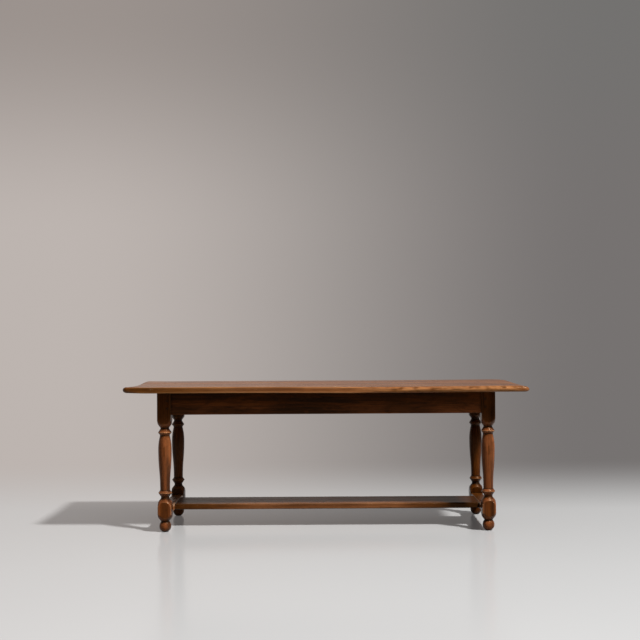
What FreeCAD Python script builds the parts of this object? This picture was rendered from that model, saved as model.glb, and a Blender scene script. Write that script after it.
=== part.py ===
import FreeCAD, Part
import math
import os
import re
import Sketcher

# An old oak farm table: a top of four boards, four turned legs, pegged aprons and a low H of stretchers.
# X runs along the table, Y from front to rear and Z up, from the floor under the middle of the top.
# All lengths are in millimetres.

SIZES = {
    # Top
    "top_length": 2100,
    "top_depth": 760,
    "top_thickness": 32,
    "edge_flat": 4,
    "corner_ease": 10,
    "front_board_width": 196,
    "rear_board_width": 202,
    "middle_joint_offset": 5,
    "board_gap": 0.6,
    "tongue_width": 26,
    "tongue_thickness": 8,
    "tongue_stop": 70,
    # Where the legs stand under the top
    "table_height": 760,
    "end_overhang": 166.5,
    "front_overhang": 86.5,
    # Legs: square stock, and the heights of the turned members from the top block down and the foot up
    "leg_width": 72,
    "leg_arris": 3,
    "turning_allowance": 0.5,
    "upper_block_height": 140,
    "upper_shoulder_height": 43,
    "neck_height": 4.5,
    "neck_diameter": 46.4,
    "ring_cone_height": 20,
    "ring_return_height": 14,
    "lip_height": 8,
    "lip_depth": 2.2,
    "quirk_height": 4,
    "quirk_diameter": 52.4,
    "lower_neck_height": 9,
    "lower_neck_diameter": 44.8,
    "lower_shoulder_height": 42,
    "lower_block_height": 35,
    "foot_shoulder_height": 42,
    "foot_neck_height": 3,
    "foot_neck_diameter": 45,
    "foot_height": 53,
    "foot_diameter": 63,
    "foot_base_diameter": 26,
    "shoulder_radius": 200,
    # Aprons and the bearers between them
    "apron_height": 114,
    "apron_thickness": 24,
    "apron_recess": 6,
    "apron_ease": 2,
    "tenon_thickness": 10,
    "tenon_shoulder": 12,
    "tenon_haunch": 18,
    "tenon_cover": 27,
    "tenon_web": 4,
    "bearer_width": 60,
    "bearer_height": 40,
    "bearer_stub": 10,
    # Stretchers
    "stretcher_width": 66,
    "stretcher_height": 32,
    "stretcher_drop": 5,
    "stretcher_ease": 6,
    "stretcher_tenon_thickness": 14,
    "stretcher_tenon_shoulder": 5,
    "stretcher_tenon_cover": 30,
    "centre_width": 246,
    "centre_thickness": 31,
    "centre_ease": 6,
    "twin_tenon_width": 58,
    "twin_tenon_gap": 50,
    "twin_tenon_thickness": 12,
    "twin_tenon_length": 38,
    # Pegs
    "peg_diameter": 9,
    "peg_proud": 1.2,
    "peg_setback": 18,
    "peg_tail": 14,
    "top_peg_hold": 30,
    "top_peg_margin": 40,
    # Fits
    "joint_clearance": 0.2,
    "peg_clearance": 0.1,
    "end_gap": 1,
    "overrun": 5,
}

# The widest of the baluster and of the foot, as shares of their heights
BELLY_SHARE = 0.737
FOOT_CREST_SHARE = 0.55
# Pegs up an apron tenon, as shares of its height, and along a long apron, as shares of half its length
TENON_PEG_SHARES = (0.25, 0.75)
APRON_PEG_SHARES = (-0.75, -0.25, 0.25, 0.75)
BEARER_SHARE = 0.34

PEG_SIDES = 8
TINY = 1e-4

# Lengths and places that follow from the sizes, each a formula in their names
FORMULAS = {
    # Top
    "nosing": "(top_thickness - edge_flat) / 2",
    "corner_radius": "nosing + corner_ease",
    "front_joint": "front_board_width - top_depth / 2",
    "rear_joint": "top_depth / 2 - rear_board_width",
    "top_middle": "leg_length + top_thickness / 2",
    "tongue_half": "top_length / 2 - tongue_stop",
    # Legs
    "leg_length": "table_height - top_thickness",
    "leg_x": "top_length / 2 - end_overhang - leg_width / 2",
    "leg_y": "top_depth / 2 - front_overhang - leg_width / 2",
    "leg_inner_x": "leg_x - leg_width / 2",
    "leg_inner_y": "leg_y - leg_width / 2",
    "corner_reach": "leg_width * sqrt(2) / 2",
    "crest_radius": "leg_width / 2 - turning_allowance",
    "lip_radius": "crest_radius - lip_depth",
    "upper_shoulder_head": "leg_length - upper_block_height",
    "upper_neck_head": "upper_shoulder_head - upper_shoulder_height",
    "upper_neck_foot": "upper_neck_head - neck_height",
    "upper_ring": "upper_neck_foot - ring_cone_height",
    "upper_ring_foot": "upper_ring - ring_return_height",
    "baluster_head": "upper_ring_foot - quirk_height",
    "baluster_foot": "lower_ring_head + quirk_height",
    "lower_ring_head": "lower_ring + ring_return_height",
    "lower_ring": "lower_neck_head + ring_cone_height",
    "lower_neck_head": "lower_neck_foot + lower_neck_height",
    "lower_neck_foot": "lower_block_head + lower_shoulder_height",
    "lower_block_head": "lower_block_foot + lower_block_height",
    "lower_block_foot": "foot_neck_head + foot_shoulder_height",
    "foot_neck_head": "foot_height + foot_neck_height",
    "belly": f"baluster_foot + {BELLY_SHARE} * (baluster_head - baluster_foot)",
    "foot_crest": f"{FOOT_CREST_SHARE} * foot_height",
    # Aprons and bearers
    "apron_foot": "leg_length - apron_height",
    "apron_depth_in_leg": "apron_recess + apron_thickness / 2",
    "apron_y": "leg_y + leg_width / 2 - apron_depth_in_leg",
    "apron_inner_y": "apron_y - apron_thickness / 2",
    "tenon_foot": "apron_foot + tenon_shoulder",
    "tenon_head": "leg_length - tenon_haunch",
    "long_tenon_length": "leg_width - tenon_cover",
    "end_tenon_length": "leg_width - apron_depth_in_leg - tenon_thickness / 2 - tenon_web",
    "bearer_x": f"{BEARER_SHARE} * leg_inner_x",
    "bearer_foot": "leg_length - bearer_height",
    # Stretchers
    "stretcher_foot": "lower_block_foot - stretcher_drop",
    "stretcher_head": "stretcher_foot + stretcher_height",
    "stretcher_middle": "stretcher_foot + stretcher_height / 2",
    "stretcher_inner_x": "leg_x - stretcher_width / 2",
    "stretcher_tenon_length": "leg_width - stretcher_tenon_cover",
    "stretcher_tenon_foot": "stretcher_foot + stretcher_tenon_shoulder",
    "stretcher_tenon_head": "stretcher_head - stretcher_tenon_shoulder",
    "centre_middle": "stretcher_foot + centre_thickness / 2",
    "twin_tenon_near": "twin_tenon_gap / 2",
    "twin_tenon_far": "twin_tenon_near + twin_tenon_width",
    "twin_tenon_middle": "twin_tenon_near + twin_tenon_width / 2",
    # Pegs
    "peg_hole_radius": "peg_diameter / 2 + peg_clearance",
    "long_peg_depth": "apron_depth_in_leg + tenon_thickness / 2 + peg_tail",
    "end_peg_depth": "(leg_width + tenon_thickness) / 2 + peg_tail",
    "stretcher_peg_depth": "(leg_width + stretcher_tenon_thickness) / 2 + peg_tail",
    "centre_peg_x": "stretcher_inner_x + peg_setback",
    "front_top_peg_y": "front_joint + top_peg_margin",
    "rear_top_peg_y": "rear_joint - top_peg_margin",
}

doc = FreeCAD.newDocument("farm_table")
sheet = doc.addObject("Spreadsheet::Sheet", "sizes")
for row, (size, length) in enumerate(SIZES.items(), start=1):
    sheet.set(f"A{row}", size)
    sheet.set(f"B{row}", str(length))
    sheet.setAlias(f"B{row}", size)
doc.recompute()

parts = []


def cells(formula):
    """The formula with each size turned into its cell, and each derived name into its own formula."""

    def reference(match):
        word = match.group()
        if word in FORMULAS:
            return f"({cells(FORMULAS[word])})"
        if word in SIZES:
            return f"{sheet.Name}.{word}"
        return word

    return re.sub(r"[a-z_]+", reference, formula)


def number(formula):
    """What the formula comes to."""
    return float(sheet.evalExpression(cells(formula)))


def point(x, y):
    """The sketch point at two formulas."""
    return FreeCAD.Vector(number(x), number(y), 0)


def bind(item, **properties):
    """Ties properties of an object to the sheet; a double underscore stands for a dot."""
    for name, formula in properties.items():
        item.setExpression(name.replace("__", "."), cells(formula))


# Sketches. A plane's sign turns a place along its axis into an offset along its normal.

PLANE_SIGNS = {"XY": 1, "XZ": -1, "YZ": 1}


def new_body(label):
    """An empty body that becomes the sub-part of that name."""
    body = doc.addObject("PartDesign::Body", label)
    parts.append(body)
    return body


def new_sketch(body, purpose, plane, place="0"):
    """A sketch on one of the body's own planes, moved along the plane's axis to a place."""
    sketch = body.newObject("Sketcher::SketchObject", f"{body.Label}_{purpose}")
    support = next(item for item in body.Origin.OriginFeatures if item.Role == f"{plane}_Plane")
    sketch.AttachmentSupport = (support, [""])
    sketch.MapMode = "FlatFace"
    bind(sketch, AttachmentOffset__Base__z=f"{PLANE_SIGNS[plane]} * ({place})")
    return sketch


def constrain(sketch, kind, *target, formula):
    """Adds a dimension to the sketch and ties it to the sheet."""
    index = sketch.addConstraint(Sketcher.Constraint(kind, *target, number(formula)))
    sketch.setExpression(f"Constraints[{index}]", cells(formula))


def fix_point(sketch, curve, end, x, y):
    """Ties one point of a sketch curve to a place."""
    constrain(sketch, "DistanceX", curve, end, formula=x)
    constrain(sketch, "DistanceY", curve, end, formula=y)


def add_rectangle(sketch, left, right, bottom, top):
    """A rectangle between four places."""
    corners = [point(left, bottom), point(right, bottom), point(right, top), point(left, top)]
    lines = [sketch.addGeometry(Part.LineSegment(corners[side - 1], corners[side])) for side in range(4)]
    for side, line in enumerate(lines):
        sketch.addConstraint(Sketcher.Constraint("Coincident", lines[side - 1], 2, line, 1))
        sketch.addConstraint(Sketcher.Constraint("Horizontal" if side % 2 else "Vertical", line))
    fix_point(sketch, lines[0], 2, left, bottom)
    fix_point(sketch, lines[2], 2, right, top)


def add_circle(sketch, x, y, radius):
    """A circle about a place."""
    circle = sketch.addGeometry(Part.Circle(point(x, y), FreeCAD.Vector(0, 0, 1), number(radius)))
    fix_point(sketch, circle, 3, x, y)
    constrain(sketch, "Radius", circle, formula=radius)


def arc_centre(start, end, stretch):
    """The centre of an outline's arc: level with its crest, or on the axis side at the shoulder radius."""
    if stretch == "bow":
        chord = end - start
        square = FreeCAD.Vector(chord.y, -chord.x, 0).normalize()
        towards_axis = square if square.x < 0 else -square
        distance = math.sqrt(number("shoulder_radius") ** 2 - chord.Length ** 2 / 4)
        return (start + end) / 2 + towards_axis * distance
    crest, other = (start, end) if stretch == "from crest" else (end, start)
    rise = other.y - crest.y
    x = (other.x ** 2 + rise ** 2 - crest.x ** 2) / (2 * (other.x - crest.x))
    return FreeCAD.Vector(x, crest.y, 0)


def add_arc(sketch, start, end, centre):
    """An arc of less than half a turn; gives its number and its point numbers at the start and the end."""
    forward = (start - centre).cross(end - centre).z > 0
    first, last = (start, end) if forward else (end, start)
    angles = [math.atan2(place.y - centre.y, place.x - centre.x) for place in (first, last)]
    if angles[1] < angles[0]:
        angles[1] += 2 * math.pi
    circle = Part.Circle(centre, FreeCAD.Vector(0, 0, 1), (start - centre).Length)
    arc = sketch.addGeometry(Part.ArcOfCircle(circle, *angles))
    return arc, (1, 2) if forward else (2, 1)


def add_outline(sketch, stations):
    """A closed outline through stations of radius, height and the stretch that leads to the next one."""
    curves = []
    places = [point(radius, height) for radius, height, stretch in stations]
    for index, (radius, height, stretch) in enumerate(stations):
        start = places[index]
        end = places[(index + 1) % len(places)]
        if stretch == "line":
            curve, ends = sketch.addGeometry(Part.LineSegment(start, end)), (1, 2)
        else:
            curve, ends = add_arc(sketch, start, end, arc_centre(start, end, stretch))
        if stretch == "bow":
            constrain(sketch, "Radius", curve, formula="shoulder_radius")
        elif stretch != "line":
            crest = ends[0] if stretch == "from crest" else ends[1]
            sketch.addConstraint(Sketcher.Constraint("Horizontal", curve, 3, curve, crest))
        curves.append((curve, ends))
    for index, (curve, ends) in enumerate(curves):
        before, before_ends = curves[index - 1]
        sketch.addConstraint(Sketcher.Constraint("Coincident", before, before_ends[1], curve, ends[0]))
        fix_point(sketch, curve, ends[0], *stations[index][:2])


# Features. Pads and cuts go both ways from the sketch, so a cut drawn on a face reaches its depth inside.


def pad(body, sketch, thickness):
    """Thickens a sketch evenly to both sides."""
    feature = body.newObject("PartDesign::Pad", f"{sketch.Label}_pad")
    feature.Profile = sketch
    feature.SideType = "Symmetric"
    bind(feature, Length=thickness)
    return feature


def cut(body, sketch, depth):
    """Cuts a sketch to a depth on both sides."""
    feature = body.newObject("PartDesign::Pocket", f"{sketch.Label}_cut")
    feature.Profile = sketch
    feature.SideType = "Symmetric"
    bind(feature, Length=f"2 * ({depth})")
    return feature


def turn(body, purpose, stations):
    """Turns an outline away round the body's own upright axis."""
    sketch = new_sketch(body, purpose, "XZ")
    add_outline(sketch, stations)
    feature = body.newObject("PartDesign::Groove", f"{sketch.Label}_turned")
    feature.Profile = sketch
    feature.ReferenceAxis = (sketch, ["V_Axis"])
    feature.Angle = 360
    return feature


def bar(body, purpose, plane, place, left, right, bottom, top, thickness):
    """A straight piece drawn as a rectangle on its middle plane."""
    sketch = new_sketch(body, purpose, plane, place)
    add_rectangle(sketch, left, right, bottom, top)
    return pad(body, sketch, thickness)


def mortise(body, purpose, plane, place, left, right, bottom, top, depth):
    """A socket whose mouth is a rectangle on a face, larger than its tenon by the clearance all round."""
    sketch = new_sketch(body, purpose, plane, place)
    add_rectangle(
        sketch,
        f"{left} - joint_clearance",
        f"{right} + joint_clearance",
        f"{bottom} - joint_clearance",
        f"{top} + joint_clearance",
    )
    return cut(body, sketch, f"{depth} + end_gap")


def peg_holes(body, purpose, plane, place, centres, depth):
    """Holes for pegs, drilled from a face."""
    sketch = new_sketch(body, purpose, plane, place)
    for x, y in centres:
        add_circle(sketch, x, y, "peg_hole_radius")
    return cut(body, sketch, depth)


def round_edges(body, feature, radius, chosen):
    """Rounds the edges of the body's last feature that a test picks."""
    doc.recompute()
    edges = enumerate(feature.Shape.Edges, start=1)
    names = [f"Edge{index}" for index, edge in edges if chosen(edge.BoundBox)]
    fillet = body.newObject("PartDesign::Fillet", f"{feature.Label}_rounded")
    fillet.Base = (feature, names)
    bind(fillet, Radius=radius)
    return fillet


def upright(box):
    """Whether an edge's box is that of a vertical edge."""
    return box.XLength < TINY and box.YLength < TINY


def along_x(box):
    """Whether an edge's box is that of an edge along the table."""
    return box.YLength < TINY and box.ZLength < TINY


def along_y(box):
    """Whether an edge's box is that of an edge across the table."""
    return box.XLength < TINY and box.ZLength < TINY


# The top


def top_board(label, near_joint, far_joint, pegs):
    """A board of the top between two joints, or a joint and a free edge, grooved and bored for its pegs."""
    body = new_body(label)
    near = f"{near_joint} + board_gap / 2" if near_joint else "-top_depth / 2"
    far = f"{far_joint} - board_gap / 2" if far_joint else "top_depth / 2"
    slab = bar(
        body, "slab", "XY", "top_middle", "-top_length / 2", "top_length / 2", near, far, "top_thickness"
    )
    joints = [joint for joint in (near_joint, far_joint) if joint]
    joint_faces = [number(face) for face, joint in ((near, near_joint), (far, far_joint)) if joint]

    def on_joint(box):
        return any(abs(box.YMin - y) < TINY and abs(box.YMax - y) < TINY for y in joint_faces)

    if len(joints) == 1:
        slab = round_edges(body, slab, "corner_radius", lambda box: upright(box) and not on_joint(box))
    round_edges(body, slab, "nosing", lambda box: box.ZLength < TINY and not on_joint(box))
    for joint in joints:
        mortise(
            body, "groove", "XZ", joint, "-tongue_half", "tongue_half",
            "top_middle - tongue_thickness / 2", "top_middle + tongue_thickness / 2", "tongue_width / 2",
        )
    peg_holes(body, "peg_holes", "XY", "table_height", pegs, "top_thickness + overrun")


def tongue(label, joint):
    """A loose tongue in the grooves of two boards, centred on their joint."""
    strip = doc.addObject("Part::Box", label)
    bind(strip, Length="2 * tongue_half", Width="tongue_width", Height="tongue_thickness")
    bind(
        strip,
        Placement__Base__x="-tongue_half",
        Placement__Base__y=f"{joint} - tongue_width / 2",
        Placement__Base__z="top_middle - tongue_thickness / 2",
    )
    parts.append(strip)


def apron_peg_places(side):
    """The top pegs above a long apron."""
    return [(f"{share} * leg_inner_x", f"{side} * apron_y") for share in APRON_PEG_SHARES]


def cross_peg_places(y):
    """The top pegs of an inner board, above the end aprons and the bearers."""
    return [(x, y) for x in ("-leg_x", "-bearer_x", "bearer_x", "leg_x")]


# Legs. Each turned outline starts outside the stock, follows the wood down and closes outside again.

SHAFT = [
    ("corner_reach + overrun", "upper_shoulder_head", "line"),
    ("corner_reach", "upper_shoulder_head", "bow"),
    ("neck_diameter / 2", "upper_neck_head", "line"),
    ("neck_diameter / 2", "upper_neck_foot", "line"),
    ("lip_radius", "upper_ring + lip_height / 2", "to crest"),
    ("crest_radius", "upper_ring", "from crest"),
    ("lip_radius", "upper_ring - lip_height / 2", "line"),
    ("quirk_diameter / 2", "upper_ring_foot", "line"),
    ("quirk_diameter / 2", "baluster_head", "to crest"),
    ("crest_radius", "belly", "from crest"),
    ("(crest_radius + quirk_diameter / 2) / 2", "(belly + baluster_foot) / 2", "to crest"),
    ("quirk_diameter / 2", "baluster_foot", "line"),
    ("quirk_diameter / 2", "lower_ring_head", "line"),
    ("lip_radius", "lower_ring + lip_height / 2", "to crest"),
    ("crest_radius", "lower_ring", "from crest"),
    ("lip_radius", "lower_ring - lip_height / 2", "line"),
    ("lower_neck_diameter / 2", "lower_neck_head", "line"),
    ("lower_neck_diameter / 2", "lower_neck_foot", "bow"),
    ("corner_reach", "lower_block_head", "line"),
    ("corner_reach + overrun", "lower_block_head", "line"),
]

FOOT = [
    ("corner_reach + overrun", "lower_block_foot", "line"),
    ("corner_reach", "lower_block_foot", "bow"),
    ("foot_neck_diameter / 2", "foot_neck_head", "line"),
    ("foot_neck_diameter / 2", "foot_height", "to crest"),
    ("foot_diameter / 2", "foot_crest", "from crest"),
    ("foot_base_diameter / 2", "0", "line"),
    ("foot_base_diameter / 2", "-overrun", "line"),
    ("corner_reach + overrun", "-overrun", "line"),
]

TENON_PEG_HEIGHTS = [f"tenon_foot + {share} * (tenon_head - tenon_foot)" for share in TENON_PEG_SHARES]


def leg(label, side_x, side_y):
    """A turned leg about its own axis, with the sockets of its rails in its two inner faces."""
    body = new_body(label)
    bind(body, Placement__Base__x=f"{side_x} * leg_x", Placement__Base__y=f"{side_y} * leg_y")
    half = "leg_width / 2"
    stock = bar(body, "stock", "XY", "leg_length / 2", f"-{half}", half, f"-{half}", half, "leg_length")
    round_edges(body, stock, "leg_arris", upright)
    turn(body, "shaft", SHAFT)
    turn(body, "foot", FOOT)

    inner_x = f"{-side_x} * {half}"
    inner_y = f"{-side_y} * {half}"
    apron_line = f"{side_y} * (leg_width / 2 - apron_depth_in_leg)"
    mortise(
        body, "long_mortise", "YZ", inner_x, f"{apron_line} - tenon_thickness / 2",
        f"{apron_line} + tenon_thickness / 2", "tenon_foot", "tenon_head", "long_tenon_length",
    )
    mortise(
        body, "end_mortise", "XZ", inner_y, "-tenon_thickness / 2", "tenon_thickness / 2",
        "tenon_foot", "tenon_head", "end_tenon_length",
    )
    mortise(
        body, "stretcher_mortise", "XZ", inner_y,
        "-stretcher_tenon_thickness / 2", "stretcher_tenon_thickness / 2",
        "stretcher_tenon_foot", "stretcher_tenon_head", "stretcher_tenon_length",
    )

    outer_x = f"{side_x} * {half}"
    outer_y = f"{side_y} * {half}"
    peg_x = f"{-side_x} * (leg_width / 2 - peg_setback)"
    peg_y = f"{-side_y} * (leg_width / 2 - peg_setback)"
    long_pegs = [(peg_x, height) for height in TENON_PEG_HEIGHTS]
    end_pegs = [(peg_y, height) for height in TENON_PEG_HEIGHTS]
    peg_holes(body, "long_pegs", "XZ", outer_y, long_pegs, "long_peg_depth + end_gap")
    peg_holes(body, "end_pegs", "YZ", outer_x, end_pegs, "end_peg_depth + end_gap")
    peg_holes(body, "low_peg", "YZ", outer_x, [(peg_y, "stretcher_middle")], "stretcher_peg_depth + end_gap")


# Aprons and bearers


def long_apron(label, side):
    """The front or rear apron, with its tenons, and the housings of the bearers in its inner face."""
    body = new_body(label)
    line = f"{side} * apron_y"
    board = bar(
        body, "board", "XZ", line, "-leg_inner_x", "leg_inner_x",
        "apron_foot", "leg_length", "apron_thickness",
    )
    foot = number("apron_foot")
    round_edges(body, board, "apron_ease", lambda box: along_x(box) and box.ZMin < foot + TINY)
    reach = "leg_inner_x + long_tenon_length"
    bar(body, "tenons", "XZ", line, f"-({reach})", reach, "tenon_foot", "tenon_head", "tenon_thickness")
    pegs = [
        (f"{end} * (leg_inner_x + peg_setback)", height) for end in (-1, 1) for height in TENON_PEG_HEIGHTS
    ]
    peg_holes(body, "tenon_holes", "XZ", line, pegs, "apron_thickness")
    for end, name in ((-1, "left"), (1, "right")):
        mortise(
            body, f"{name}_housing", "XZ", f"{side} * apron_inner_y",
            f"{end} * bearer_x - bearer_width / 2", f"{end} * bearer_x + bearer_width / 2",
            "bearer_foot", "leg_length + overrun", "bearer_stub",
        )
    peg_holes(body, "top_holes", "XY", "leg_length", apron_peg_places(side), "top_peg_hold + end_gap")


def end_apron(label, side):
    """The apron between the two legs of one end, on their middle line."""
    body = new_body(label)
    line = f"{side} * leg_x"
    board = bar(
        body, "board", "YZ", line, "-leg_inner_y", "leg_inner_y",
        "apron_foot", "leg_length", "apron_thickness",
    )
    foot = number("apron_foot")
    round_edges(body, board, "apron_ease", lambda box: along_y(box) and box.ZMin < foot + TINY)
    reach = "leg_inner_y + end_tenon_length"
    bar(body, "tenons", "YZ", line, f"-({reach})", reach, "tenon_foot", "tenon_head", "tenon_thickness")
    pegs = [
        (f"{end} * (leg_inner_y + peg_setback)", height) for end in (-1, 1) for height in TENON_PEG_HEIGHTS
    ]
    peg_holes(body, "tenon_holes", "YZ", line, pegs, "apron_thickness")
    tops = [(line, "front_top_peg_y"), (line, "rear_top_peg_y")]
    peg_holes(body, "top_holes", "XY", "leg_length", tops, "top_peg_hold + end_gap")


def bearer(label, side):
    """A cross rail under the boards, let into the inner faces of the long aprons."""
    body = new_body(label)
    line = f"{side} * bearer_x"
    reach = "apron_inner_y + bearer_stub"
    bar(body, "rail", "YZ", line, f"-({reach})", reach, "bearer_foot", "leg_length", "bearer_width")
    tops = [(line, "front_top_peg_y"), (line, "rear_top_peg_y")]
    peg_holes(body, "top_holes", "XY", "leg_length", tops, "top_peg_hold + end_gap")


# Stretchers


def end_stretcher(label, side):
    """The low rail between the two legs of one end, mortised for the twin tenons of the centre board."""
    body = new_body(label)
    line = f"{side} * leg_x"
    inner = f"{side} * stretcher_inner_x"
    rail = bar(
        body, "rail", "YZ", line, "-leg_inner_y", "leg_inner_y",
        "stretcher_foot", "stretcher_head", "stretcher_width",
    )
    round_edges(body, rail, "stretcher_ease", along_y)
    reach = "leg_inner_y + stretcher_tenon_length"
    bar(
        body, "tenons", "YZ", line, f"-({reach})", reach,
        "stretcher_tenon_foot", "stretcher_tenon_head", "stretcher_tenon_thickness",
    )
    pegs = [(f"{end} * (leg_inner_y + peg_setback)", "stretcher_middle") for end in (-1, 1)]
    peg_holes(body, "tenon_holes", "YZ", line, pegs, "stretcher_width")
    for name, near, far in (
        ("front", "-twin_tenon_far", "-twin_tenon_near"),
        ("rear", "twin_tenon_near", "twin_tenon_far"),
    ):
        mortise(
            body, f"{name}_mortise", "YZ", inner, near, far, "centre_middle - twin_tenon_thickness / 2",
            "centre_middle + twin_tenon_thickness / 2", "twin_tenon_length",
        )
    pegs = [(f"{side} * centre_peg_x", f"{end} * twin_tenon_middle") for end in (-1, 1)]
    peg_holes(body, "centre_holes", "XY", "stretcher_middle", pegs, "stretcher_height")


def centre_board(label):
    """The wide flat board between the end stretchers, with twin tenons at each end."""
    body = new_body(label)
    board = bar(
        body, "board", "XY", "centre_middle", "-stretcher_inner_x", "stretcher_inner_x",
        "-centre_width / 2", "centre_width / 2", "centre_thickness",
    )
    round_edges(body, board, "centre_ease", along_x)
    reach = "stretcher_inner_x + twin_tenon_length"
    for name, near, far in (
        ("front", "-twin_tenon_far", "-twin_tenon_near"),
        ("rear", "twin_tenon_near", "twin_tenon_far"),
    ):
        bar(
            body, f"{name}_tenons", "XY", "centre_middle", f"-({reach})", reach,
            near, far, "twin_tenon_thickness",
        )
    pegs = [
        (f"{side} * centre_peg_x", f"{end} * twin_tenon_middle") for side in (-1, 1) for end in (-1, 1)
    ]
    peg_holes(body, "peg_holes", "XY", "centre_middle", pegs, "centre_thickness")


# Pegs: eight-sided riven pins. Each starts at a place and runs the way that its turn sends +Z.


def peg(group, start, length, axis=(0, 0, 1), angle=0):
    """One peg of a group."""
    pin = doc.addObject("Part::Prism", f"{group}_pin")
    pin.Polygon = PEG_SIDES
    pin.Placement = FreeCAD.Placement(FreeCAD.Vector(), FreeCAD.Rotation(FreeCAD.Vector(*axis), angle))
    bind(pin, Circumradius="peg_diameter / 2", Height=length)
    x, y, z = start
    bind(pin, Placement__Base__x=x, Placement__Base__y=y, Placement__Base__z=z)
    return pin


def peg_group(label, pins):
    """All pegs of one kind as one sub-part of separate solids."""
    group = doc.addObject("Part::Compound", label)
    group.Links = pins
    parts.append(group)


def face_peg(group, side_x, side_y, z, depth):
    """A peg driven into the front or rear face of a leg."""
    start = (f"{side_x} * (leg_inner_x + peg_setback)", f"{side_y} * (leg_y + leg_width / 2 + peg_proud)", z)
    return peg(group, start, f"{depth} + peg_proud", (1, 0, 0), 90 * side_y)


def end_peg(group, side_x, side_y, z, depth):
    """A peg driven into the end face of a leg."""
    start = (f"{side_x} * (leg_x + leg_width / 2 + peg_proud)", f"{side_y} * (leg_inner_y + peg_setback)", z)
    return peg(group, start, f"{depth} + peg_proud", (0, 1, 0), -90 * side_x)


SIDES = [(side_x, side_y) for side_y in (-1, 1) for side_x in (-1, 1)]
NAMES_X = {-1: "left", 1: "right"}
NAMES_Y = {-1: "front", 1: "rear"}

top_board("front_board", None, "front_joint", apron_peg_places(-1))
top_board("front_inner_board", "front_joint", "middle_joint_offset", cross_peg_places("front_top_peg_y"))
top_board("rear_inner_board", "middle_joint_offset", "rear_joint", cross_peg_places("rear_top_peg_y"))
top_board("rear_board", "rear_joint", None, apron_peg_places(1))
tongue("front_tongue", "front_joint")
tongue("middle_tongue", "middle_joint_offset")
tongue("rear_tongue", "rear_joint")

for side_x, side_y in SIDES:
    leg(f"{NAMES_Y[side_y]}_{NAMES_X[side_x]}_leg", side_x, side_y)
for side in (-1, 1):
    long_apron(f"{NAMES_Y[side]}_apron", side)
    end_apron(f"{NAMES_X[side]}_apron", side)
    bearer(f"{NAMES_X[side]}_bearer", side)
    end_stretcher(f"{NAMES_X[side]}_stretcher", side)
centre_board("centre_stretcher")

apron_pins = []
stretcher_pins = []
centre_pins = []
for side_x, side_y in SIDES:
    for height in TENON_PEG_HEIGHTS:
        apron_pins.append(face_peg("apron", side_x, side_y, height, "long_peg_depth"))
        apron_pins.append(end_peg("apron", side_x, side_y, height, "end_peg_depth"))
    stretcher_pins.append(end_peg("stretcher", side_x, side_y, "stretcher_middle", "stretcher_peg_depth"))
    start = (f"{side_x} * centre_peg_x", f"{side_y} * twin_tenon_middle", "stretcher_foot")
    centre_pins.append(peg("centre", start, "stretcher_height + peg_proud"))
top_places = apron_peg_places(-1) + apron_peg_places(1)
top_places += cross_peg_places("front_top_peg_y") + cross_peg_places("rear_top_peg_y")
top_pins = [
    peg("top", (x, y, "leg_length - top_peg_hold"), "top_thickness + top_peg_hold") for x, y in top_places
]
peg_group("apron_pegs", apron_pins)
peg_group("stretcher_pegs", stretcher_pins)
peg_group("centre_stretcher_pegs", centre_pins)
peg_group("top_pegs", top_pins)

# Nothing is written unless every feature worked, every cut took wood away and every piece is whole

doc.recompute()
for item in doc.Objects:
    if {"Invalid", "Error"} & set(item.State):
        raise RuntimeError(f"{item.Label} could not be made")
    if item.TypeId in ("PartDesign::Pocket", "PartDesign::Groove"):
        if item.Shape.Volume > item.BaseFeature.Shape.Volume - TINY:
            raise RuntimeError(f"{item.Label} cuts nothing")
for part in parts:
    pieces = len(part.Links) if part.TypeId == "Part::Compound" else 1
    if part.Shape.isNull() or not part.Shape.isValid() or len(part.Shape.Solids) != pieces:
        raise RuntimeError(f"{part.Label} is not whole")

os.makedirs("parts", exist_ok=True)
for part in parts:
    part.Shape.exportStep(f"parts/{part.Label}.step")
    print(part.Label, round(part.Shape.Volume), part.Shape.BoundBox)
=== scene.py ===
import math
from collections import namedtuple

import bpy
import numpy as np
from mathutils import Matrix, Vector, noise
from mathutils.bvhtree import BVHTree


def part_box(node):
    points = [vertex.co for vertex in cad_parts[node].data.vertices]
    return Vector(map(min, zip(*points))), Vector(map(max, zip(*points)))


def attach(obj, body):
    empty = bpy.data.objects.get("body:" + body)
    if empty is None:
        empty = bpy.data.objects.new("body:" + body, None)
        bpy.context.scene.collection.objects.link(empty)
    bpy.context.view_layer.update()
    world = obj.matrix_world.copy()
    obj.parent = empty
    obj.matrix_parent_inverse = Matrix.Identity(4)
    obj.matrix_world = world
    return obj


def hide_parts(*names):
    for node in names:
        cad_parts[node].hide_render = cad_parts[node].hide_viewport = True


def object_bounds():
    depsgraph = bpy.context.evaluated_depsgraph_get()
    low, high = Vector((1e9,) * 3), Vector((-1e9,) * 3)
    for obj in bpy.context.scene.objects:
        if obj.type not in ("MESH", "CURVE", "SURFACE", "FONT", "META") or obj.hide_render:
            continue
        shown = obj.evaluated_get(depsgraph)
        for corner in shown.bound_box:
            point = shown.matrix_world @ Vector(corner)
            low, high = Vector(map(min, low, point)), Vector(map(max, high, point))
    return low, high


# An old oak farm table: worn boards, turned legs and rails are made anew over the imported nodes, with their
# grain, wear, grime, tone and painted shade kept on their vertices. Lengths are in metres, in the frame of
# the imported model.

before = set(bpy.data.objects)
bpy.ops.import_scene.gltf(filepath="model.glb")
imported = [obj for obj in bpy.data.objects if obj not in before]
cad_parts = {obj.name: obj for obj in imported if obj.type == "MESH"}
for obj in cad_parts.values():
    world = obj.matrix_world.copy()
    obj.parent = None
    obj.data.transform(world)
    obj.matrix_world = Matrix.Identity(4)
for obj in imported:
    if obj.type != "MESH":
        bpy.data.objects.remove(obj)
cad_low, cad_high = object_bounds()
MILLIMETRE = 0.001


# Meshes

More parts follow.
